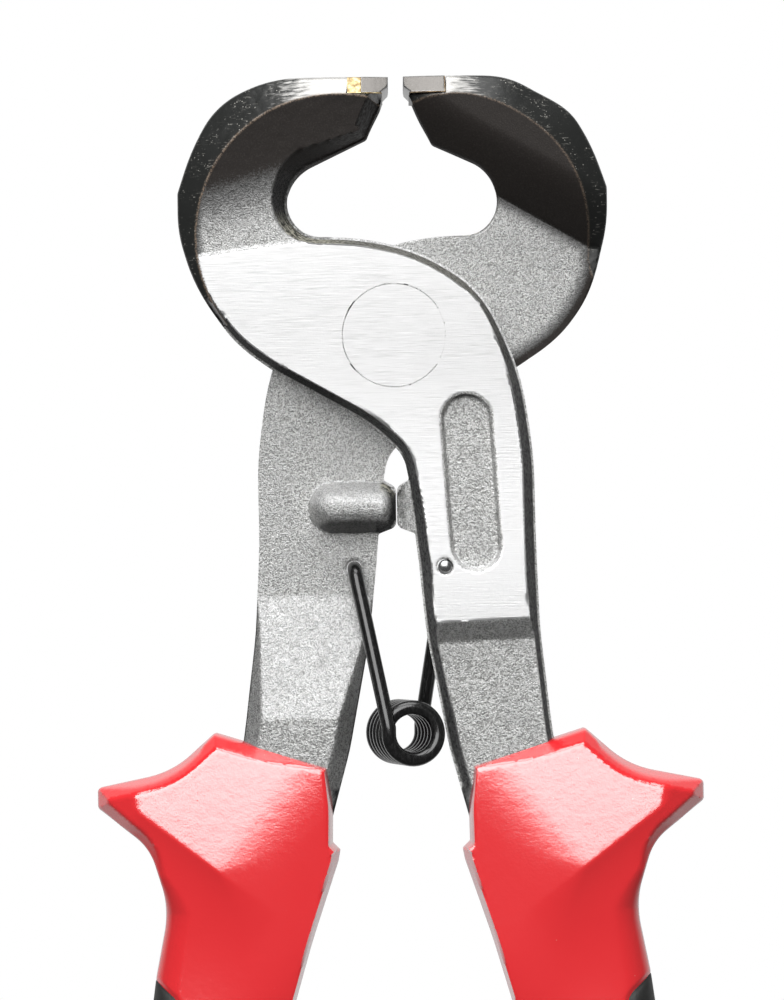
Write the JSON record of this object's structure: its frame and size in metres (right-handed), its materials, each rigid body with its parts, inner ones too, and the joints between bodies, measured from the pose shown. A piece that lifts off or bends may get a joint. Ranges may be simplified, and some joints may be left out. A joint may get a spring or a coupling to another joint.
{
  "type": "tile nippers",
  "caption": "Hand nippers with curved carbide-tipped jaws on a riveted pivot, stop lugs, a coil return spring and red two-part grips with thumb guards.",
  "frame": {"origin": "centre of the pivot rivet, on the mating plane of the two levers", "axes": "+Z from the pivot towards the jaws, +X to the tool's right seen from the front, the front faces -Y"},
  "size_m": [0.0898, 0.019, 0.2097],
  "materials": {
    "forged_steel": "sandblasted forging with ground faces",
    "rivet_steel": "ground flush",
    "carbide": "ground cemented carbide",
    "braze": "raw braze",
    "black_wire": "black oxide spring wire",
    "red_sleeve": "glossy moulded plastic",
    "black_pad": "soft matt elastomer"
  },
  "bodies": {
    "front_lever": {"front_lever": "forged_steel", "pivot_rivet": "rivet_steel", "left_carbide_tip": "carbide", "left_braze_seam": "braze", "right_grip_core": "red_sleeve", "right_grip_pad": "black_pad"},
    "rear_lever": {"rear_lever": "forged_steel", "right_carbide_tip": "carbide", "right_braze_seam": "braze", "left_grip_core": "red_sleeve", "left_grip_pad": "black_pad"},
    "return_spring": {"return_spring": "black_wire"}
  },
  "joints": [
    {"name": "jaw_pivot", "type": "hinge", "parent": "front_lever", "child": "rear_lever", "pos_m": [0, 0, 0], "axis": [0, 1, 0], "range_deg": [0, 22]},
    {"name": "spring_follow", "type": "hinge", "parent": "front_lever", "child": "return_spring", "pos_m": [0, 0, 0], "axis": [0, 1, 0], "range_deg": [0, 11], "deforming": ["return_spring"]}
  ],
  "couplings": [
    {"joint": "spring_follow", "follows": "jaw_pivot", "ratio": 0.5}
  ]
}
